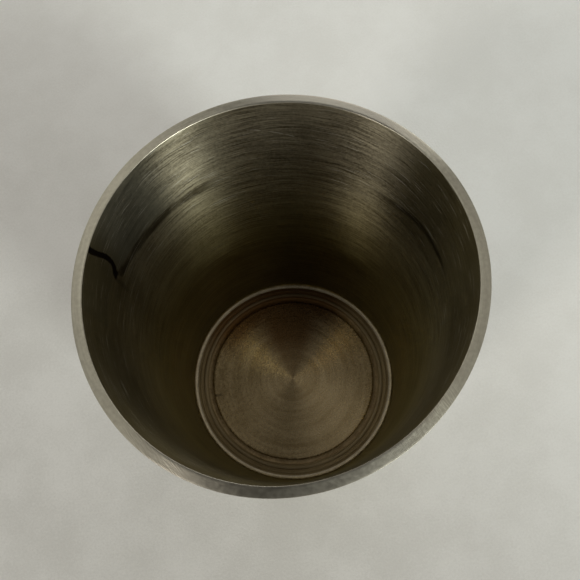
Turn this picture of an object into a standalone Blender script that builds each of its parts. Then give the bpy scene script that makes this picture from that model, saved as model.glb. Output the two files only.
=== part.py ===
"""A turned metal shot cup: a tapered wall soldered onto a foot ring, with a floor disc set into the ring.

Every piece is a solid of revolution about Z, and the origin is the centre of the foot, on the surface that the cup
stands on. A section is a list of (radius, height) points, which runs down the outer side, inwards along the bottom,
and up the inner side.
"""

import math

import bpy

MM = 0.001
SEGMENTS = 72  # facets round every piece, in step with each other so that seated faces stay parallel
JOINT_GAP = 0.1 * MM  # the gap between two seated pieces
SHARP_ANGLE = math.radians(32)

# Driving dimensions.
HEIGHT = 56.5 * MM
LIP_INNER_RADIUS = 21.0 * MM
LIP_OUTER_RADIUS = 22.2 * MM
FLOOR_HEIGHT = 4.0 * MM
FLOOR_RADIUS = 16.15 * MM  # where the inside of the wall meets the floor
WALL_AT_FOOT = 1.3 * MM

# Lip: a broken inner edge, a face that slopes down outwards, and a rounded outer edge.
LIP_EDGE_BREAK = 0.06 * MM
LIP_SLOPE = 0.25  # drop of the lip's face for each unit outwards
LIP_ROUND = 0.16 * MM

# Foot ring: a flange that the wall stands on, and a spigot that fills the wall's lower end.
FLANGE_TOP = 1.5 * MM
FLANGE_RADIUS = 18.0 * MM
FLANGE_CHAMFER = 0.35 * MM
FLANGE_TOP_CHAMFER = 0.15 * MM
BORE_RADIUS = 11.5 * MM
LEDGE_TOP = 1.8 * MM  # the ledge that carries the floor disc
SEAT_RADIUS = 13.3 * MM
CHANNEL_BOTTOM = 3.1 * MM  # the ring-shaped channel between disc and ring, which holds solder
CHANNEL_OUTER_RADIUS = 13.75 * MM
SHELF_DROP = 0.1 * MM  # the ring's top face lies this far under the rim of the disc
BEAD_RADIUS = 14.25 * MM
BEAD_HALF_WIDTH = 0.3 * MM
BEAD_HEIGHT = 0.24 * MM
OUTER_BEAD_RADIUS = 15.0 * MM
OUTER_BEAD_HALF_WIDTH = 0.2 * MM
OUTER_BEAD_HEIGHT = 0.08 * MM

# Floor disc: a very flat cone, with a sloping edge and a rebate under it.
CHANNEL_INNER_RADIUS = 12.95 * MM
DISC_SLOPE_WIDTH = 0.4 * MM
DISC_SLOPE_DROP = 0.22 * MM
CONE_RISE = 0.6 * MM

# Solder.
FILLET_LEG = 0.7 * MM
OUTER_FILLET_LEG = 0.4 * MM
CHANNEL_SOLDER_TOP = 3.72 * MM
CHANNEL_SOLDER_SAG = 0.1 * MM

INNER_SLOPE = (LIP_INNER_RADIUS - FLOOR_RADIUS) / (HEIGHT - FLOOR_HEIGHT)
WALL_BOTTOM = FLANGE_TOP + JOINT_GAP
SHELF_HEIGHT = FLOOR_HEIGHT - SHELF_DROP
LIP_ROUND_RADIUS = LIP_OUTER_RADIUS - LIP_ROUND  # where the lip's sloping face ends
LIP_ROUND_HEIGHT = HEIGHT - LIP_SLOPE * (LIP_ROUND_RADIUS - LIP_INNER_RADIUS)


def inner_radius(height):
    """Radius of the inside of the wall at a height, on the straight taper that runs from lip to foot."""
    return FLOOR_RADIUS + INNER_SLOPE * (height - FLOOR_HEIGHT)


def outer_radius(height):
    """Radius of the outside of the wall at a height, which tapers a little less than the inside."""
    foot = inner_radius(WALL_BOTTOM) + WALL_AT_FOOT
    share = (height - WALL_BOTTOM) / (LIP_ROUND_HEIGHT - LIP_ROUND - WALL_BOTTOM)
    return foot + (LIP_OUTER_RADIUS - foot) * share


def arc(centre, half_width, half_height, start_deg, end_deg, count):
    """Points of an elliptical arc in the section plane, both ends included."""
    points = []
    for i in range(count):
        turn = math.radians(start_deg + (end_deg - start_deg) * i / (count - 1))
        points.append((centre[0] + half_width * math.cos(turn), centre[1] + half_height * math.sin(turn)))
    return points


def bead(radius, half_width, height, count):
    """A bead that stands on the foot ring's top face, from its inner side to its outer side."""
    return arc((radius, SHELF_HEIGHT), half_width, height, 180, 0, count)


def wall_section():
    """The tapered wall, open at both ends, with its lip."""
    lip_round = arc((LIP_ROUND_RADIUS, LIP_ROUND_HEIGHT - LIP_ROUND), LIP_ROUND, LIP_ROUND, 90, 0, 4)
    return lip_round + [
        (outer_radius(WALL_BOTTOM), WALL_BOTTOM),
        (inner_radius(WALL_BOTTOM), WALL_BOTTOM),
        (LIP_INNER_RADIUS - INNER_SLOPE * LIP_EDGE_BREAK, HEIGHT - LIP_EDGE_BREAK),
        (LIP_INNER_RADIUS + LIP_EDGE_BREAK, HEIGHT),
    ]


def foot_ring_section():
    """The foot ring: flange below, spigot above, a seat for the floor disc, and two beads on its top face."""
    inner_bead = bead(BEAD_RADIUS, BEAD_HALF_WIDTH, BEAD_HEIGHT, 7)
    outer_bead = bead(OUTER_BEAD_RADIUS, OUTER_BEAD_HALF_WIDTH, OUTER_BEAD_HEIGHT, 5)
    return [
        (inner_radius(SHELF_HEIGHT) - JOINT_GAP, SHELF_HEIGHT),
        (inner_radius(FLANGE_TOP) - JOINT_GAP, FLANGE_TOP),
        (FLANGE_RADIUS - FLANGE_TOP_CHAMFER, FLANGE_TOP),
        (FLANGE_RADIUS, FLANGE_TOP - FLANGE_TOP_CHAMFER),
        (FLANGE_RADIUS, FLANGE_CHAMFER),
        (FLANGE_RADIUS - FLANGE_CHAMFER, 0),
        (BORE_RADIUS + FLANGE_CHAMFER, 0),
        (BORE_RADIUS, FLANGE_CHAMFER),
        (BORE_RADIUS, LEDGE_TOP),
        (SEAT_RADIUS, LEDGE_TOP),
        (SEAT_RADIUS, CHANNEL_BOTTOM),
        (CHANNEL_OUTER_RADIUS, CHANNEL_BOTTOM),
        (CHANNEL_OUTER_RADIUS, SHELF_HEIGHT),
    ] + inner_bead + outer_bead


def floor_disc_section():
    """The floor disc, from its tip outwards over its conical face and back under it. It is open at the axis."""
    face_radius = CHANNEL_INNER_RADIUS - DISC_SLOPE_WIDTH
    edge = SEAT_RADIUS - JOINT_GAP
    underside = LEDGE_TOP + JOINT_GAP
    return [
        (0, FLOOR_HEIGHT + CONE_RISE),
        (face_radius, FLOOR_HEIGHT),
        (CHANNEL_INNER_RADIUS, FLOOR_HEIGHT - DISC_SLOPE_DROP),
        (CHANNEL_INNER_RADIUS, CHANNEL_BOTTOM),
        (edge, CHANNEL_BOTTOM),
        (edge, underside),
        (0, underside),
    ]


def wall_fillet_section():
    """The solder fillet in the corner where the wall rises from the foot ring's top face."""
    bottom = SHELF_HEIGHT + JOINT_GAP
    top = bottom + FILLET_LEG
    foot = inner_radius(bottom) - JOINT_GAP
    hollow = arc((foot - FILLET_LEG, top), FILLET_LEG, FILLET_LEG, -80, -10, 5)
    return [
        (inner_radius(top) - JOINT_GAP, top),
        (foot, bottom),
        (foot - FILLET_LEG, bottom),
    ] + hollow


def channel_solder_section():
    """The solder that fills the lower part of the channel between floor disc and foot ring, with a sagging top."""
    inner = CHANNEL_INNER_RADIUS + JOINT_GAP
    outer = CHANNEL_OUTER_RADIUS - JOINT_GAP
    bottom = CHANNEL_BOTTOM + JOINT_GAP
    middle = (inner + outer) / 2
    sag = arc((middle, CHANNEL_SOLDER_TOP), (outer - inner) / 2, CHANNEL_SOLDER_SAG, 180, 360, 7)
    return sag + [(outer, bottom), (inner, bottom)]


def foot_fillet_section():
    """The small solder fillet outside, in the step between the wall and the flange."""
    bottom = FLANGE_TOP + JOINT_GAP
    top = bottom + OUTER_FILLET_LEG
    wall = outer_radius(top) + JOINT_GAP
    edge = wall + OUTER_FILLET_LEG
    hollow = arc((edge, top), OUTER_FILLET_LEG, OUTER_FILLET_LEG, 190, 260, 5)
    return [(wall, top)] + hollow + [
        (edge, bottom),
        (outer_radius(bottom) + JOINT_GAP, bottom),
    ]


def metal(name, colour, roughness):
    """A bare metal of one colour."""
    material = bpy.data.materials.new(name)
    material.use_nodes = True
    shader = material.node_tree.nodes["Principled BSDF"]
    shader.inputs["Base Color"].default_value = (*colour, 1.0)
    shader.inputs["Metallic"].default_value = 1.0
    shader.inputs["Roughness"].default_value = roughness
    return material


def turned(name, section, material, collection):
    """Turns a section about Z into a closed, smooth-shaded mesh object.

    A section that starts on the axis ends there too, and any other section is joined end to start.
    """
    edges = [(i, i + 1) for i in range(len(section) - 1)]
    if section[0][0] > 0:
        edges.append((len(section) - 1, 0))
    profile = bpy.data.meshes.new(name + "_section")
    profile.from_pydata([(radius, 0, height) for radius, height in section], edges, [])
    piece = bpy.data.objects.new(name, profile)
    collection.objects.link(piece)

    screw = piece.modifiers.new("turn", "SCREW")
    screw.axis = "Z"
    screw.steps = SEGMENTS
    screw.render_steps = SEGMENTS
    screw.use_merge_vertices = True
    screw.merge_threshold = 0.001 * MM

    graph = bpy.context.evaluated_depsgraph_get()
    turned_mesh = bpy.data.meshes.new_from_object(piece.evaluated_get(graph))
    piece.modifiers.clear()
    piece.data = turned_mesh
    turned_mesh.name = name
    turned_mesh.shade_smooth()
    turned_mesh.set_sharp_from_angle(angle=SHARP_ANGLE)
    turned_mesh.materials.append(material)
    bpy.data.meshes.remove(profile)


def clear_scene():
    for scene_object in list(bpy.data.objects):
        bpy.data.objects.remove(scene_object, do_unlink=True)


def build():
    clear_scene()
    cup = bpy.data.collections.new("shot_cup")
    bpy.context.scene.collection.children.link(cup)

    wall_metal = metal("wall_metal", (0.42, 0.40, 0.36), 0.34)
    foot_metal = metal("foot_metal", (0.44, 0.42, 0.38), 0.38)
    floor_metal = metal("floor_metal", (0.40, 0.36, 0.30), 0.4)
    solder = metal("solder", (0.52, 0.50, 0.45), 0.3)

    turned("cup_wall", wall_section(), wall_metal, cup)
    turned("foot_ring", foot_ring_section(), foot_metal, cup)
    turned("floor_disc", floor_disc_section(), floor_metal, cup)
    turned("wall_solder_fillet", wall_fillet_section(), solder, cup)
    turned("disc_solder_seam", channel_solder_section(), solder, cup)
    turned("foot_solder_fillet", foot_fillet_section(), solder, cup)


build()
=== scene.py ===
"""The looks of a turned metal shot cup: fine, worn versions of its soldered pieces, in aged satin pewter.

Lengths are in metres, written as millimetres times MM. Angles about Z run from +X towards +Y. The camera
looks in from -90 degrees, which is called the near side.
"""

import math

import bmesh
import bpy
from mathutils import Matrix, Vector


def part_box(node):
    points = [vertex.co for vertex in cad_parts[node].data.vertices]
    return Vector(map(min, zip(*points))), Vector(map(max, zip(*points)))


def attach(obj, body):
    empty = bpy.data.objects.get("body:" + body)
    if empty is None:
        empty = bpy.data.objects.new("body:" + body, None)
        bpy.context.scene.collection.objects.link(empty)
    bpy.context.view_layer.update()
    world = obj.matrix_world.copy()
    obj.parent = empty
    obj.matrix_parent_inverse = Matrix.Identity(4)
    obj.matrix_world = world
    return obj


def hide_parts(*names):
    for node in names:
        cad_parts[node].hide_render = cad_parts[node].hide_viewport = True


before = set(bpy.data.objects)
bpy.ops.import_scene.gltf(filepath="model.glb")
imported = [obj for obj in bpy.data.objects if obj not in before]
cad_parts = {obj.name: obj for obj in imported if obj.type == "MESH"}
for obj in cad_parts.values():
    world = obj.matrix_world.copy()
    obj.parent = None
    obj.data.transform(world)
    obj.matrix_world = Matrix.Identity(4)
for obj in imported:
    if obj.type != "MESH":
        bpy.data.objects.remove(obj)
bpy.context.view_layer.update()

MM = 0.001
SEGMENTS = 288
SHARP_ANGLE = math.radians(40)

# Read from the frame.
wall_low, wall_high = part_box("cup_wall")
ring_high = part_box("foot_ring")[1]
disc_low, disc_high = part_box("floor_disc")
LIP_RADIUS = wall_high.x
CUP_HEIGHT = wall_high.z
WALL_BOTTOM = wall_low.z
FLANGE_RADIUS = ring_high.x
DISC_EDGE = disc_high.x
DISC_UNDERSIDE = disc_low.z

# The design's own sizes, where the frame's boxes don't show them. Against the frame, the beads and the
# fillet are lower, the disc's sloping edge is flatter and the solder round it is higher. The lip is sharper
# on its outer edge and softer on its inner edge.
FLOOR_HEIGHT = 4.0 * MM
FLOOR_RADIUS = 16.15 * MM  # where the inside of the wall meets the floor
WALL_AT_FOOT = 1.3 * MM
LIP_WIDTH = 1.2 * MM
LIP_EDGE_BREAK = 0.11 * MM
LIP_SLOPE = 0.25  # drop of the lip's face for each unit outwards
LIP_FACE_TURN = 76  # the turn, in degrees, at which the lip's rounded edges run into its face
LIP_ROUND = 0.03 * MM
LIP_BAND = 1.0 * MM  # the lip's face lies within this height under the top
FLANGE_TOP = 1.5 * MM
FLANGE_CHAMFER = 0.35 * MM
FLANGE_TOP_CHAMFER = 0.15 * MM
BORE_RADIUS = 11.5 * MM
LEDGE_TOP = 1.8 * MM
SEAT_RADIUS = 13.3 * MM
CHANNEL_BOTTOM = 3.1 * MM
CHANNEL_OUTER = 13.75 * MM
CHANNEL_INNER = 12.95 * MM
SHELF_DROP = 0.1 * MM
BEAD_RADIUS = 14.25 * MM
BEAD_HALF_WIDTH = 0.3 * MM
BEAD_HEIGHT = 0.08 * MM
OUTER_BEAD_RADIUS = 15.0 * MM
OUTER_BEAD_HALF_WIDTH = 0.2 * MM
OUTER_BEAD_HEIGHT = 0.04 * MM
DISC_SLOPE_WIDTH = 0.4 * MM
DISC_SLOPE_DROP = 0.06 * MM
CONE_RISE = 0.6 * MM
CONE_STEPS = 24
CONE_TIP = 0.03  # the share of the radius over which the cone's tip is rounded
FILLET_WIDTH = 0.68 * MM
FILLET_HEIGHT = 0.32 * MM
OUTER_FILLET_LEG = 0.4 * MM
SEAM_TOP = 3.93 * MM
SEAM_SAG = 0.04 * MM
GAP = 0.02 * MM  # between the foot ring's spigot and the wall
TABLE_GAP = 0.05 * MM  # keeps the table's face clear of the foot
TABLE_HALF_WIDTH = 1500 * MM

LIP_INNER = LIP_RADIUS - LIP_WIDTH
TAPER = (LIP_INNER - FLOOR_RADIUS) / (CUP_HEIGHT - FLOOR_HEIGHT)
SHELF_HEIGHT = FLOOR_HEIGHT - SHELF_DROP
LIP_ROUND_RADIUS = LIP_RADIUS - LIP_ROUND
LIP_ROUND_HEIGHT = CUP_HEIGHT - LIP_SLOPE * (LIP_ROUND_RADIUS - LIP_INNER)

# The lip is a little out of round: shares of the radius, where each swell points in radians, and how fast
# the bend grows from floor to lip.
OVAL_SHARE = 0.0148
OVAL_DIRECTION = 0.72
LOBE_SHARE = 0.005
LOBE_DIRECTION = 0.21
BEND_POWER = 1.3

# Where the marks are: angles in degrees, depths under the lip and places on the floor in millimetres.
DRIP_ANGLE = 161.9  # at the lip
TAIL_ANGLE = 162.0
TIDE_ANGLE = 160.2  # where the tide mark starts, beside the drip
TIDE_DEPTH = 9.0  # how deep it starts
SCRATCH_DEPTH = 18.9  # at 0 degrees
SCRATCH_RISE = 0.152  # millimetres for each degree
UNSHADED_ANGLE = 97.0  # the middle of the side of the wall without the painted shade
FILED_ANGLES = (-54.0, -132.0)
# The middles of the lip's painted shade.
LIP_SHADE_ANGLES = (-97.0, 70.0)
# Where the floor's stain and painted shade lies.
STAIN_AND_SHADE_WEDGE_ANGLE = 86.0
STAIN_AND_SHADE_RIM_ANGLE = 96.0
DISC_MARK_Y = -1.0

# The camera: a phone held close above the near side of the lip, a little turned against the cup's axes.
CAMERA_LENS = 54  # millimetres
CAMERA_TILT = math.radians(17.92)
CAMERA_ROLL = math.radians(8.01)
CAMERA_REACH = 4.356  # distance from the middle of the lip, in inner lip radii
CAMERA_AIM = (0.045, -0.057)  # where it looks, beside the middle of the lip, in inner lip radii

# The light from below and round the horizon: the angles from straight down where it is full and where it
# ends, and its strength.
HORIZON_GLOW = (98, 113, 1.3)
# Each glow in the sky: azimuth, elevation, the angles where it is full and where it ends, and its strength.
SKY_GLOWS = (
    (290, 20, 20, 46, 0.54),
    (125, 46, 10, 28, 0.60),
    (40, 50, 8, 24, 0.14),
    (10, 60, 14, 36, 0.34),
    (180, 52, 10, 30, 0.35),
    (120, 73, 6, 20, 0.13),
)
SKY_TINT = (1.0, 0.985, 0.93, 1.0)


def inner_radius(height):
    return FLOOR_RADIUS + TAPER * (height - FLOOR_HEIGHT)


def outer_radius(height):
    foot = inner_radius(WALL_BOTTOM) + WALL_AT_FOOT
    share = (height - WALL_BOTTOM) / (LIP_ROUND_HEIGHT - LIP_ROUND - WALL_BOTTOM)
    return foot + (LIP_RADIUS - foot) * share


def arc(centre, half_width, half_height, start_deg, end_deg, count):
    """Points of an elliptical arc in the section plane, both ends included."""
    points = []
    for i in range(count):
        turn = math.radians(start_deg + (end_deg - start_deg) * i / (count - 1))
        points.append((centre[0] + half_width * math.cos(turn), centre[1] + half_height * math.sin(turn)))
    return points


def line(start, end, count):
    """Points along a straight stretch of a section, without its end point."""
    return [
        (start[0] + (end[0] - start[0]) * i / count, start[1] + (end[1] - start[1]) * i / count)
        for i in range(count)
    ]


def out_of_round(angle, height):
    """How much wider the worn cup is here than the round one, as a share of the radius."""
    share = max(0.0, (height - FLOOR_HEIGHT) / (CUP_HEIGHT - FLOOR_HEIGHT))
    oval = OVAL_SHARE * math.cos(2 * (angle - OVAL_DIRECTION))
    lobes = LOBE_SHARE * math.cos(3 * (angle - LOBE_DIRECTION))
    return (oval + lobes) * share**BEND_POWER


def wall_material(face):
    """0 for the inside of the wall, 1 for its lip, 2 for its outside."""
    faces_up = face.normal.z > 0.5
    if faces_up and face.center.z > CUP_HEIGHT - LIP_BAND:
        return 1
    outward = face.normal.x * face.center.x + face.normal.y * face.center.y
    return 2 if outward > 0 else 0


def foot_material(face):
    """0 for what shows inside the cup, 1 for what shows outside and underneath."""
    return 0 if face.center.z > CHANNEL_BOTTOM else 1


def turned(name, section, node, materials, choose=None):
    """Turns a section about Z, bends it out of round, and puts it in the place of its CAD node.

    Where there are several materials, choose gives each face the number of its material.
    """
    closed = section[0][0] > 0
    mesh = bpy.data.meshes.new(name)
    shape = bmesh.new()
    rows = []
    for radius, height in section:
        if radius == 0:
            rows.append([shape.verts.new((0, 0, height))] * SEGMENTS)
            continue
        row = []
        for i in range(SEGMENTS):
            angle = 2 * math.pi * i / SEGMENTS
            reach = radius * (1 + out_of_round(angle, height))
            row.append(shape.verts.new((reach * math.cos(angle), reach * math.sin(angle), height)))
        rows.append(row)
    pairs = list(zip(rows, rows[1:] + rows[:1])) if closed else list(zip(rows, rows[1:]))
    for upper, lower in pairs:
        for i in range(SEGMENTS):
            j = (i + 1) % SEGMENTS
            corners = [upper[i], lower[i], lower[j], upper[j]]
            shape.faces.new(list(dict.fromkeys(corners)))
    bmesh.ops.recalc_face_normals(shape, faces=shape.faces)
    shape.to_mesh(mesh)
    shape.free()
    mesh.shade_smooth()
    mesh.set_sharp_from_angle(angle=SHARP_ANGLE)
    for material in materials:
        mesh.materials.append(material)
    if choose:
        for face in mesh.polygons:
            face.material_index = choose(face)
    piece = bpy.data.objects.new(name, mesh)
    bpy.context.scene.collection.objects.link(piece)
    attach(piece, "root")
    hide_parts(node)
    return piece


class Graph:
    """A material's node tree, with short calls that add a node and return its output."""

    def __init__(self, name):
        self.material = bpy.data.materials.new(name)
        self.material.use_nodes = True
        self.tree = self.material.node_tree
        self.shader = self.tree.nodes["Principled BSDF"]

    def feed(self, socket, value):
        if isinstance(value, bpy.types.NodeSocket):
            self.tree.links.new(value, socket)
        else:
            socket.default_value = value

    def node(self, kind, inputs=(), **settings):
        made = self.tree.nodes.new(kind)
        for setting, value in settings.items():
            setattr(made, setting, value)
        for name, value in dict(inputs).items():
            self.feed(made.inputs[name], value)
        return made

    def math(self, operation, a, b=0.0, c=0.0):
        return self.node("ShaderNodeMath", {0: a, 1: b, 2: c}, operation=operation).outputs[0]

    def span(self, value, low, high, to_low=0.0, to_high=1.0):
        """Maps low..high smoothly to to_low..to_high, and holds the ends."""
        made = self.node("ShaderNodeMapRange", interpolation_type="SMOOTHSTEP")
        for slot, number in enumerate((value, low, high, to_low, to_high)):
            self.feed(made.inputs[slot], number)
        return made.outputs[0]

    def mix(self, factor, a, b):
        made = self.node("ShaderNodeMix", data_type="RGBA")
        self.feed(made.inputs[0], factor)
        self.feed(made.inputs[6], a)
        self.feed(made.inputs[7], b)
        return made.outputs[2]

    def noise(self, vector, scale, detail=2.0, roughness=0.5):
        inputs = {"Vector": vector, "Scale": scale, "Detail": detail, "Roughness": roughness}
        return self.node("ShaderNodeTexNoise", inputs).outputs["Fac"]

    def vector(self, x, y, z):
        return self.node("ShaderNodeCombineXYZ", {0: x, 1: y, 2: z}).outputs[0]


def colour(red, green, blue):
    return (red, green, blue, 1.0)


class Metal(Graph):
    """A worn metal, with its own coordinates.

    They are x, y, z, the radius and the depth under the lip in millimetres, and the angle about Z in
    degrees. Masks are 1 inside a mark and 0 outside it.
    """

    LEVEL_SHARE = 0.83  # how much the radius counts beside the height, so that level faces have lines too
    WANDER_SCALE = 0.16  # waves per millimetre of the noise that makes lines wander
    QUARTER_TURN = 0.25

    def __init__(self, name):
        super().__init__(name)
        place = self.node("ShaderNodeTexCoord").outputs["Object"]
        self.place = self.node("ShaderNodeVectorMath", {0: place, 3: 1 / MM}, operation="SCALE").outputs[0]
        self.x, self.y, self.z = self.node("ShaderNodeSeparateXYZ", {0: self.place}).outputs
        squares = self.math("ADD", self.both(self.x, self.x), self.both(self.y, self.y))
        self.radius = self.math("SQRT", squares)
        self.depth = self.math("SUBTRACT", CUP_HEIGHT / MM, self.z)
        self.angle = self.math("MULTIPLY", self.math("ARCTAN2", self.y, self.x), 180 / math.pi)

    def turning_lines(self, pitch, run, wander=0.0):
        """Noise drawn out round the axis: lines about a pitch wide that last for a run, and may wander."""
        across = self.math("ADD", self.z, self.math("MULTIPLY", self.radius, self.LEVEL_SHARE))
        if wander:
            across = self.math("ADD", across, self.noise_of(self.WANDER_SCALE, wander))
        x = self.math("DIVIDE", self.x, run)
        y = self.math("DIVIDE", self.y, run)
        where = self.vector(x, y, self.math("DIVIDE", across, pitch))
        return self.noise(where, 1.0, 2.0, 0.6)

    def noise_of(self, scale, height=1.0):
        """Plain noise, with scale waves per millimetre."""
        return self.math("MULTIPLY", self.noise(self.place, scale, 3.0, 0.55), height)

    def blend(self, *parts):
        """The sum of (share, value) parts."""
        total = self.math("MULTIPLY", parts[0][1], parts[0][0])
        for share, value in parts[1:]:
            total = self.math("ADD", total, self.math("MULTIPLY", value, share))
        return total

    def fade_out(self, value, start, end):
        return self.span(value, start, end, 1.0, 0.0)

    def near(self, value, centre, half_width, soft):
        """1 within half a width of a centre, falling to 0 over a soft edge."""
        away = self.math("ABSOLUTE", self.math("SUBTRACT", value, centre))
        return self.fade_out(self.math("SUBTRACT", away, half_width), 0.0, soft)

    def both(self, a, b):
        return self.math("MULTIPLY", a, b)

    def either(self, a, b):
        return self.math("MAXIMUM", a, b)

    def stain_and_painted_shade(self, base):
        """A reddish brown stain and painted shade on the floor's far side: a wedge that widens at the rim.
        """
        wedge = self.near(self.angle, STAIN_AND_SHADE_WEDGE_ANGLE, 14.0, 30.0)
        wedge = self.both(wedge, self.span(self.radius, 0.5, 8.0, 0.3, 1.0))
        rim = self.near(self.angle, STAIN_AND_SHADE_RIM_ANGLE, 34.0, 34.0)
        rim = self.both(rim, self.span(self.radius, 8.5, 12.0))
        return self.mix(self.both(self.either(wedge, rim), 0.85), base, colour(0.17, 0.08, 0.024))

    def finish(self, base, roughness, height, depth_mm, anisotropy=0.0):
        """Feeds the shader. The height makes a bump, and anisotropy spreads the shine across the lines."""
        self.feed(self.shader.inputs["Base Color"], base)
        self.feed(self.shader.inputs["Roughness"], roughness)
        self.shader.inputs["Metallic"].default_value = 1.0
        if anisotropy:
            self.shader.inputs["Anisotropic"].default_value = anisotropy
            self.shader.inputs["Anisotropic Rotation"].default_value = self.QUARTER_TURN
            tangent = self.node("ShaderNodeTangent", direction_type="RADIAL", axis="Z").outputs[0]
            self.feed(self.shader.inputs["Tangent"], tangent)
        bump = self.node("ShaderNodeBump", {"Height": height, "Strength": 1.0, "Distance": depth_mm * MM})
        self.feed(self.shader.inputs["Normal"], bump.outputs[0])
        return self.material


def drip_mask(m):
    """A drip that runs down from the lip, leans aside, swings back and ends in a blob."""
    lean = m.span(m.depth, 0.0, 6.5, 0.0, 3.0)
    swing = m.span(m.depth, 7.0, 9.8, 0.0, 2.2)
    middle = m.math("ADD", m.math("SUBTRACT", DRIP_ANGLE, lean), swing)
    blob = m.span(m.depth, 7.3, 8.8, 0.25, 0.9)
    half_width = m.both(m.blend((1.1, m.noise_of(1.3)), (1.0, blob)), 0.85)
    return m.both(m.near(m.angle, middle, half_width, 0.45), m.fade_out(m.depth, 9.7, 10.2))


def tail_mask(m):
    """A faint stain that runs on below the drip."""
    down = m.both(m.span(m.depth, 9.0, 10.0), m.fade_out(m.depth, 11.0, 17.0))
    return m.both(m.near(m.angle, TAIL_ANGLE, 0.1, 1.4), down)


def tide_masks(m):
    """The ragged tide mark that sinks away from the drip, and the washed metal above it."""
    run = m.math("MAXIMUM", m.math("SUBTRACT", TIDE_ANGLE, m.angle), 0.0)
    sink = m.math("MULTIPLY", m.math("POWER", run, 0.36), 0.98)
    below = m.math("SUBTRACT", m.depth, m.math("ADD", sink, TIDE_DEPTH))
    tide = m.near(below, m.noise_of(0.45, 1.3), 0.5, 0.8)
    tide = m.both(tide, m.span(m.noise_of(0.3), 0.36, 0.6, 0.6, 1.0))
    tide = m.both(tide, m.both(m.span(m.angle, 102.0, 118.0), m.fade_out(m.angle, 160.6, 161.0)))
    washed = m.both(m.fade_out(below, -0.6, 0.2), m.span(m.angle, 122.0, 138.0))
    return tide, washed


def right_arc_mask(m):
    """A shorter tide mark on the right, which sinks towards the far side."""
    below = m.math("SUBTRACT", m.depth, m.span(m.angle, 20.0, 46.0, 12.55, 14.1))
    tide = m.near(below, m.noise_of(0.4, 0.6), 0.25, 0.6)
    return m.both(tide, m.both(m.span(m.angle, 4.0, 14.0), m.fade_out(m.angle, 32.0, 48.0)))


def scratch_and_painted_glint_mask(m):
    """One long, fine, broken scratch across the far side, and short painted highlights on sharp lines."""
    scratch_depth = m.math("SUBTRACT", SCRATCH_DEPTH, m.math("MULTIPLY", m.angle, SCRATCH_RISE))
    scratch = m.near(m.math("SUBTRACT", m.depth, scratch_depth), 0.0, 0.02, 0.12)
    scratch = m.both(scratch, m.both(m.span(m.angle, 62.0, 74.0), m.fade_out(m.angle, 98.0, 108.0)))
    scratch = m.both(scratch, m.span(m.noise_of(0.6), 0.4, 0.6))
    painted_glints = m.span(m.turning_lines(0.2, 5.0, 1.2), 0.62, 0.72)
    painted_glints = m.both(painted_glints, m.span(m.depth, 14.0, 24.0, 1.0, 0.2))
    return m.either(scratch, painted_glints)


def painted_shade_mask(m):
    """Painted shade on the upper wall, all round but for the far side."""
    far_side = m.near(m.angle, UNSHADED_ANGLE, 52.0, 14.0)
    return m.both(m.math("SUBTRACT", 1.0, far_side), m.span(m.depth, 4.0, 30.0, 0.75, 0.0))


def inside_metal():
    """The tarnished inside: turning lines, a black drip, tide marks, painted shade, a scratch, painted
    glints.
    """
    m = Metal("brushed_inside_metal")
    broad = m.turning_lines(1.1, 20.0, 1.2)
    strokes = m.turning_lines(0.30, 9.0, 1.2)
    fine = m.turning_lines(0.12, 5.0, 1.2)
    lines = m.blend((0.15, broad), (0.35, strokes), (0.5, fine))
    patches = m.noise_of(0.11)
    grain = m.noise_of(3.0)
    deep = m.span(m.depth, 4.0, 38.0)
    drip = drip_mask(m)
    tide, washed = tide_masks(m)

    tone = m.span(m.blend((0.66, lines), (0.18, patches), (0.16, grain)), 0.36, 0.62)
    # Darker and browner towards the floor.
    upper_tone = m.mix(tone, colour(0.145, 0.122, 0.075), colour(0.46, 0.41, 0.285))
    lower_tone = m.mix(tone, colour(0.165, 0.126, 0.04), colour(0.36, 0.30, 0.125))
    base = m.mix(deep, upper_tone, lower_tone)
    base = m.mix(m.both(washed, 0.55), base, colour(0.20, 0.21, 0.165))
    # Painted shade: the upper wall is darker all round but for the far side.
    base = m.mix(painted_shade_mask(m), base, colour(0.10, 0.077, 0.024))
    base = m.mix(m.both(m.either(tide, right_arc_mask(m)), 0.9), base, colour(0.055, 0.042, 0.02))
    base = m.mix(m.both(tail_mask(m), 0.6), base, colour(0.06, 0.045, 0.025))
    # A real scratch, and painted highlights where the turning lines are sharp.
    base = m.mix(m.both(scratch_and_painted_glint_mask(m), 0.7), base, colour(0.74, 0.70, 0.60))
    base = m.mix(drip, base, colour(0.012, 0.008, 0.006))
    rough = m.span(m.blend((0.7, fine), (0.3, grain)), 0.35, 0.65, 0.33, 0.43)
    height = m.math("ADD", lines, m.math("MULTIPLY", drip, 0.8))
    return m.finish(base, rough, height, 0.02, 0.95)


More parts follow.
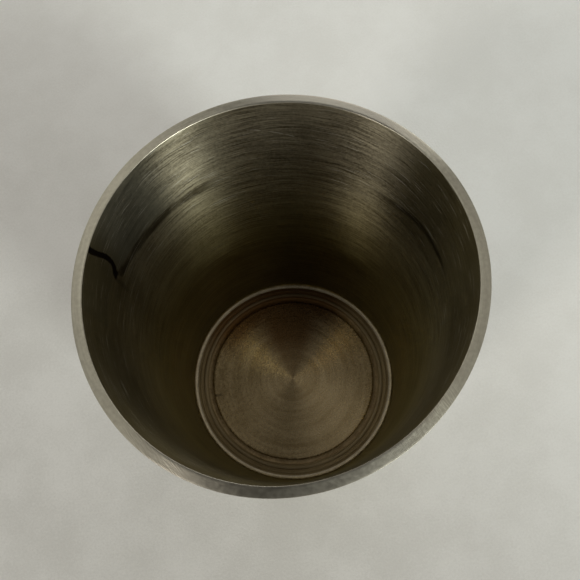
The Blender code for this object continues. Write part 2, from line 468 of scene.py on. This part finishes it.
def lip_metal():
    """The flat lip: fine satin, filed hard in two places, painted shade on the near side and far right."""
    m = Metal("filed_lip_metal")
    ring = m.turning_lines(0.16, 5.0)
    speckle = m.noise_of(2.2)
    patches = m.noise_of(0.16)
    slanted = m.math("ADD", m.math("MULTIPLY", m.x, 0.87), m.math("MULTIPLY", m.y, 0.5))
    along = m.math("SUBTRACT", m.math("MULTIPLY", m.y, 0.87), m.math("MULTIPLY", m.x, 0.5))
    strokes = m.vector(m.math("MULTIPLY", slanted, 8.0), m.math("MULTIPLY", along, 0.9), 0.0)
    filed = m.span(m.noise(strokes, 1.0, 2.0, 0.6), 0.32, 0.68)
    filed_right, filed_left = FILED_ANGLES
    hard = m.either(m.near(m.angle, filed_right, 7.0, 9.0), m.near(m.angle, filed_left, 5.0, 8.0))
    marks = m.mix(hard, m.blend((0.5, ring), (0.5, speckle)), filed)
    tone = m.span(m.blend((0.85, marks), (0.15, patches)), 0.30, 0.70)
    base = m.mix(tone, colour(0.50, 0.46, 0.36), colour(0.65, 0.61, 0.49))
    # Painted shade: the lip is darker on the near side and at the far right.
    shade_near, shade_far = LIP_SHADE_ANGLES
    painted_lip_shade = m.either(m.near(m.angle, shade_near, 33.0, 18.0), m.near(m.angle, shade_far, 14.0, 24.0))
    base = m.mix(m.both(painted_lip_shade, 0.72), base, colour(0.26, 0.24, 0.20))
    rough = m.span(m.blend((0.6, speckle), (0.4, patches)), 0.35, 0.65, 0.29, 0.36)
    height = m.math("MULTIPLY", marks, m.math("ADD", m.math("MULTIPLY", hard, 2.0), 1.0))
    return m.finish(base, rough, height, 0.0025, 0.3)


def outside_metal():
    """The outside of the wall and the foot: fine turning lines under a handled, patchy satin."""
    m = Metal("handled_outside_metal")
    broad = m.turning_lines(0.9, 30.0)
    fine = m.turning_lines(0.16, 9.0)
    patches = m.noise_of(0.09)
    smears = m.noise_of(0.35)
    grain = m.noise_of(2.5)
    lines = m.blend((0.4, broad), (0.6, fine))
    tone = m.span(m.blend((0.45, lines), (0.4, patches), (0.15, grain)), 0.36, 0.64)
    base = m.mix(tone, colour(0.30, 0.275, 0.225), colour(0.46, 0.43, 0.365))
    rough = m.span(m.blend((0.5, patches), (0.3, smears), (0.2, fine)), 0.36, 0.64, 0.34, 0.50)
    return m.finish(base, rough, m.blend((0.7, lines), (0.3, smears)), 0.02, 0.6)


def ring_metal():
    """The foot ring's top: the disc's stain and painted shade, a little lighter on the bead crests."""
    m = Metal("foot_ring_metal")
    fine = m.turning_lines(0.14, 8.0)
    patches = m.noise_of(0.2)
    grain = m.noise_of(3.0)
    tone = m.span(m.blend((0.5, fine), (0.3, patches), (0.2, grain)), 0.36, 0.64)
    base = m.stain_and_painted_shade(m.mix(tone, colour(0.25, 0.18, 0.09), colour(0.43, 0.33, 0.185)))
    crest = m.span(m.z, SHELF_HEIGHT / MM + 0.02, SHELF_HEIGHT / MM + 0.08)
    base = m.mix(m.both(crest, 0.4), base, colour(0.46, 0.37, 0.24))
    rough = m.span(m.blend((0.6, grain), (0.4, fine)), 0.35, 0.65, 0.36, 0.48)
    return m.finish(base, rough, m.blend((0.7, fine), (0.3, grain)), 0.02, 0.8)


def disc_metal():
    """The floor disc: concentric turning lines, speckled, a stain and painted shade, one short radial mark.
    """
    m = Metal("floor_disc_metal")
    broad = m.turning_lines(1.0, 16.0, 0.4)
    fine = m.turning_lines(0.22, 8.0, 0.4)
    speckle = m.noise_of(2.6)
    patches = m.noise_of(0.14)
    lines = m.blend((0.5, broad), (0.5, fine))
    tone = m.span(m.blend((0.45, lines), (0.3, speckle), (0.25, patches)), 0.36, 0.64)
    base = m.stain_and_painted_shade(m.mix(tone, colour(0.34, 0.245, 0.12), colour(0.66, 0.515, 0.305)))
    mark = m.both(m.near(m.y, DISC_MARK_Y, 0.1, 0.2), m.span(m.x, -11.6, -11.9))
    base = m.mix(m.both(mark, 0.6), base, colour(0.10, 0.07, 0.04))
    rough = m.span(m.blend((0.6, speckle), (0.4, fine)), 0.35, 0.65, 0.22, 0.32)
    return m.finish(base, rough, m.blend((0.55, lines), (0.45, speckle)), 0.015, 0.85)


def solder_metal(name, bright, dark, stain_and_painted_shade=False):
    """Solder: small waves and pits from cooling, and lighter and darker patches."""
    m = Metal(name)
    waves = m.noise_of(0.7)
    pits = m.noise_of(2.8)
    fine = m.turning_lines(0.2, 4.0)
    tone = m.span(m.blend((0.4, waves), (0.35, pits), (0.25, fine)), 0.38, 0.62)
    base = m.mix(tone, dark, bright)
    # Optionally the floor's stain and painted shade.
    if stain_and_painted_shade:
        base = m.stain_and_painted_shade(base)
    rough = m.span(pits, 0.35, 0.65, 0.28, 0.42)
    return m.finish(base, rough, m.blend((0.6, waves), (0.4, pits)), 0.05)


def cup_wall_section():
    outer_foot = (outer_radius(WALL_BOTTOM), WALL_BOTTOM)
    inner_foot = (inner_radius(WALL_BOTTOM), WALL_BOTTOM)
    round_centre = (LIP_ROUND_RADIUS, LIP_ROUND_HEIGHT - LIP_ROUND)
    lip_round = arc(round_centre, LIP_ROUND, LIP_ROUND, LIP_FACE_TURN, 0, count=6)
    edge_centre = (LIP_INNER + LIP_EDGE_BREAK, CUP_HEIGHT - LIP_EDGE_BREAK)
    edge_round = arc(edge_centre, LIP_EDGE_BREAK, LIP_EDGE_BREAK, 180, LIP_FACE_TURN, count=6)
    return (
        line(edge_round[-1], lip_round[0], count=5)[1:]
        + lip_round
        + line(lip_round[-1], outer_foot, count=40)[1:]
        + [outer_foot]
        + line(inner_foot, edge_round[0], count=60)
        + edge_round
    )


def bead(radius, half_width, height, count):
    return arc((radius, SHELF_HEIGHT), half_width, height, 180, 0, count)


def foot_ring_section():
    inner_bead = bead(BEAD_RADIUS, BEAD_HALF_WIDTH, BEAD_HEIGHT, count=13)
    outer_bead = bead(OUTER_BEAD_RADIUS, OUTER_BEAD_HALF_WIDTH, OUTER_BEAD_HEIGHT, count=9)
    return [
        (inner_radius(SHELF_HEIGHT) - GAP, SHELF_HEIGHT),
        (inner_radius(FLANGE_TOP) - GAP, FLANGE_TOP),
        (FLANGE_RADIUS - FLANGE_TOP_CHAMFER, FLANGE_TOP),
        (FLANGE_RADIUS, FLANGE_TOP - FLANGE_TOP_CHAMFER),
        (FLANGE_RADIUS, FLANGE_CHAMFER),
        (FLANGE_RADIUS - FLANGE_CHAMFER, 0.0),
        (BORE_RADIUS + FLANGE_CHAMFER, 0.0),
        (BORE_RADIUS, FLANGE_CHAMFER),
        (BORE_RADIUS, LEDGE_TOP),
        (SEAT_RADIUS, LEDGE_TOP),
        (SEAT_RADIUS, CHANNEL_BOTTOM),
        (CHANNEL_OUTER, CHANNEL_BOTTOM),
        (CHANNEL_OUTER, SHELF_HEIGHT),
    ] + inner_bead + outer_bead


def floor_disc_section():
    face_radius = CHANNEL_INNER - DISC_SLOPE_WIDTH
    face = []
    for i in range(CONE_STEPS):
        share = i / CONE_STEPS
        rise = CONE_RISE * (1 - math.sqrt(share**2 + CONE_TIP**2))
        face.append((face_radius * share, FLOOR_HEIGHT + rise))
    edge_centre = (face_radius, FLOOR_HEIGHT - DISC_SLOPE_DROP)
    sloping_edge = arc(edge_centre, DISC_SLOPE_WIDTH, DISC_SLOPE_DROP, 90, 0, count=7)
    return face + sloping_edge + [
        (CHANNEL_INNER, CHANNEL_BOTTOM),
        (DISC_EDGE, CHANNEL_BOTTOM),
        (DISC_EDGE, DISC_UNDERSIDE),
        (0, DISC_UNDERSIDE),
    ]


def wall_fillet_section():
    top = SHELF_HEIGHT + FILLET_HEIGHT
    foot = inner_radius(SHELF_HEIGHT)
    hollow = arc((foot - FILLET_WIDTH, top), FILLET_WIDTH, FILLET_HEIGHT, -86, -4, count=12)
    return [(inner_radius(top), top), (foot, SHELF_HEIGHT), (foot - FILLET_WIDTH, SHELF_HEIGHT)] + hollow


def channel_seam_section():
    middle = (CHANNEL_INNER + CHANNEL_OUTER) / 2
    half_width = (CHANNEL_OUTER - CHANNEL_INNER) / 2
    sag = arc((middle, SEAM_TOP), half_width, SEAM_SAG, 180, 360, count=13)
    return sag + [(CHANNEL_OUTER, CHANNEL_BOTTOM), (CHANNEL_INNER, CHANNEL_BOTTOM)]


def foot_fillet_section():
    top = FLANGE_TOP + OUTER_FILLET_LEG
    wall = outer_radius(top)
    edge = wall + OUTER_FILLET_LEG
    hollow = arc((edge, top), OUTER_FILLET_LEG, OUTER_FILLET_LEG, 186, 264, count=12)
    return [(wall, top)] + hollow + [(edge, FLANGE_TOP), (outer_radius(FLANGE_TOP), FLANGE_TOP)]


def build_cup():
    outside = outside_metal()
    wall = [inside_metal(), lip_metal(), outside]
    turned("worn_cup_wall", cup_wall_section(), "cup_wall", wall, wall_material)
    ring = [ring_metal(), outside]
    turned("worn_foot_ring", foot_ring_section(), "foot_ring", ring, foot_material)
    disc = [disc_metal(), outside]
    turned("worn_floor_disc", floor_disc_section(), "floor_disc", disc, foot_material)

    # The fillet's light solder colour is partly a painted highlight along the bright ring at the floor.
    bright = solder_metal("solder_and_painted_highlight_metal", colour(0.70, 0.60, 0.44), colour(0.50, 0.42, 0.29))
    turned("worn_wall_fillet", wall_fillet_section(), "wall_solder_fillet", [bright])
    dull_tones = (colour(0.40, 0.295, 0.165), colour(0.23, 0.16, 0.08))
    dull = solder_metal("dull_solder_metal", *dull_tones, stain_and_painted_shade=True)
    turned("worn_disc_seam", channel_seam_section(), "disc_solder_seam", [dull])
    grey = solder_metal("grey_solder_metal", colour(0.56, 0.525, 0.445), colour(0.38, 0.35, 0.285))
    turned("worn_foot_fillet", foot_fillet_section(), "foot_solder_fillet", [grey])


def build_camera():
    camera = bpy.data.objects.new("camera", bpy.data.cameras.new("camera"))
    bpy.context.scene.collection.objects.link(camera)
    camera.data.lens = CAMERA_LENS
    camera.data.clip_start = 5 * MM
    reach = CAMERA_REACH * LIP_INNER
    spot = Vector((0, -reach * math.sin(CAMERA_TILT), CUP_HEIGHT + reach * math.cos(CAMERA_TILT)))
    target = Vector((CAMERA_AIM[0] * LIP_INNER, CAMERA_AIM[1] * LIP_INNER, CUP_HEIGHT))
    ahead = (target - spot).normalized()
    right = ahead.cross(Vector((0, 1, 0))).normalized()
    down = ahead.cross(right)
    across = math.cos(CAMERA_ROLL) * right + math.sin(CAMERA_ROLL) * down
    below = -math.sin(CAMERA_ROLL) * right + math.cos(CAMERA_ROLL) * down
    matrix = camera.matrix_world.to_3x3()
    matrix.col[0] = across
    matrix.col[1] = -below
    matrix.col[2] = -ahead
    camera.matrix_world = matrix.to_4x4()
    camera.location = spot
    bpy.context.scene.camera = camera


def table_paint_and_painted_shade():
    """A pale, faintly mottled and grained paint, with painted shade that darkens it towards the near left.
    """
    g = Graph("table_paint_and_painted_shade")
    place = g.node("ShaderNodeTexCoord").outputs["Object"]
    mottle = g.span(g.noise(place, 60.0, 4.0, 0.6), 0.3, 0.7, 0.25, 0.75)
    fibre = g.noise(place, 2600.0, 3.0, 0.7)
    shade = g.span(g.math("MULTIPLY", g.math("ADD", mottle, fibre), 0.5), 0.3, 0.7)
    x, y, _ = g.node("ShaderNodeSeparateXYZ", {0: place}).outputs
    # Painted shade: the paint darkens towards the near left.
    far = g.span(g.math("ADD", g.math("MULTIPLY", x, 0.8), y), -60 * MM, 70 * MM)
    near_painted_shade = g.mix(shade, colour(0.60, 0.58, 0.54), colour(0.71, 0.69, 0.65))
    far_paint = g.mix(shade, colour(0.90, 0.89, 0.84), colour(0.97, 0.965, 0.92))
    g.feed(g.shader.inputs["Base Color"], g.mix(far, near_painted_shade, far_paint))
    bump = g.node("ShaderNodeBump", {"Height": fibre, "Strength": 0.5, "Distance": 0.1 * MM})
    g.feed(g.shader.inputs["Normal"], bump.outputs[0])
    g.shader.inputs["Roughness"].default_value = 0.6
    return g.material


def build_floor():
    mesh = bpy.data.meshes.new("table")
    shape = bmesh.new()
    bmesh.ops.create_grid(shape, x_segments=2, y_segments=2, size=TABLE_HALF_WIDTH)
    shape.to_mesh(mesh)
    shape.free()
    mesh.materials.append(table_paint_and_painted_shade())
    table = bpy.data.objects.new("table", mesh)
    table.location.z = -TABLE_GAP
    bpy.context.scene.collection.objects.link(table)


def direction(azimuth, elevation):
    turn = math.radians(azimuth)
    lift = math.radians(elevation)
    return Vector((math.cos(turn) * math.cos(lift), math.sin(turn) * math.cos(lift), math.sin(lift)))


def lamp(name, azimuth, elevation, distance, size, radiance, tint=(1.0, 1.0, 1.0)):
    """A soft rectangular light that faces the cup's mouth. Its radiance sets its power."""
    data = bpy.data.lights.new(name, "AREA")
    data.shape = "RECTANGLE"
    data.size, data.size_y = size
    data.energy = radiance * math.pi * size[0] * size[1]
    data.color = tint
    light = bpy.data.objects.new(name, data)
    bpy.context.scene.collection.objects.link(light)
    away = direction(azimuth, elevation)
    light.location = Vector((0, 0, CUP_HEIGHT)) + away * distance
    light.rotation_euler = away.to_track_quat("Z", "Y").to_euler()


def glow(tree, place, toward, full, edge, strength):
    """Light of a strength within an angle of a direction, which fades to nothing at a wider angle."""
    facing = tree.nodes.new("ShaderNodeVectorMath")
    facing.operation = "DOT_PRODUCT"
    facing.inputs[1].default_value = toward
    tree.links.new(place, facing.inputs[0])
    fade = tree.nodes.new("ShaderNodeMapRange")
    fade.interpolation_type = "SMOOTHSTEP"
    tree.links.new(facing.outputs["Value"], fade.inputs["Value"])
    fade.inputs["From Min"].default_value = math.cos(math.radians(edge))
    fade.inputs["From Max"].default_value = math.cos(math.radians(full))
    fade.inputs["To Max"].default_value = strength
    return fade.outputs[0]


def build_sky():
    """A dim room, lit from the horizon down and by soft glows in the sky, the widest on the near side."""
    world = bpy.data.worlds.new("studio")
    bpy.context.scene.world = world
    world.use_nodes = True
    tree = world.node_tree
    place = tree.nodes.new("ShaderNodeTexCoord").outputs["Generated"]
    total = glow(tree, place, Vector((0, 0, -1)), *HORIZON_GLOW)
    for azimuth, elevation, full, edge, strength in SKY_GLOWS:
        light = glow(tree, place, direction(azimuth, elevation), full, edge, strength)
        joined = tree.nodes.new("ShaderNodeMath")
        tree.links.new(total, joined.inputs[0])
        tree.links.new(light, joined.inputs[1])
        total = joined.outputs[0]
    tint = tree.nodes.new("ShaderNodeMix")
    tint.data_type = "RGBA"
    tint.inputs[6].default_value = (0.0, 0.0, 0.0, 1.0)
    tint.inputs[7].default_value = SKY_TINT
    tree.links.new(total, tint.inputs[0])
    background = tree.nodes["Background"]
    tree.links.new(tint.outputs[2], background.inputs["Color"])
    background.inputs["Strength"].default_value = 1.0


def build_light():
    """The sky, two windows on the near side, and a weak key light close beyond the cup."""
    build_sky()
    cool = (0.94, 1.0, 0.97)
    warm = (1.0, 0.96, 0.90)
    lamp("near_right_window", -54, 27, distance=0.9, size=(0.16, 0.50), radiance=14.0, tint=cool)
    lamp("near_left_window", 221, 36, distance=0.9, size=(0.16, 0.26), radiance=13.0, tint=warm)
    lamp("far_key", 68, 19, distance=0.42, size=(0.30, 0.12), radiance=2.4)


bpy.context.scene.view_settings.view_transform = "Standard"
build_camera()
build_light()
build_floor()
build_cup()
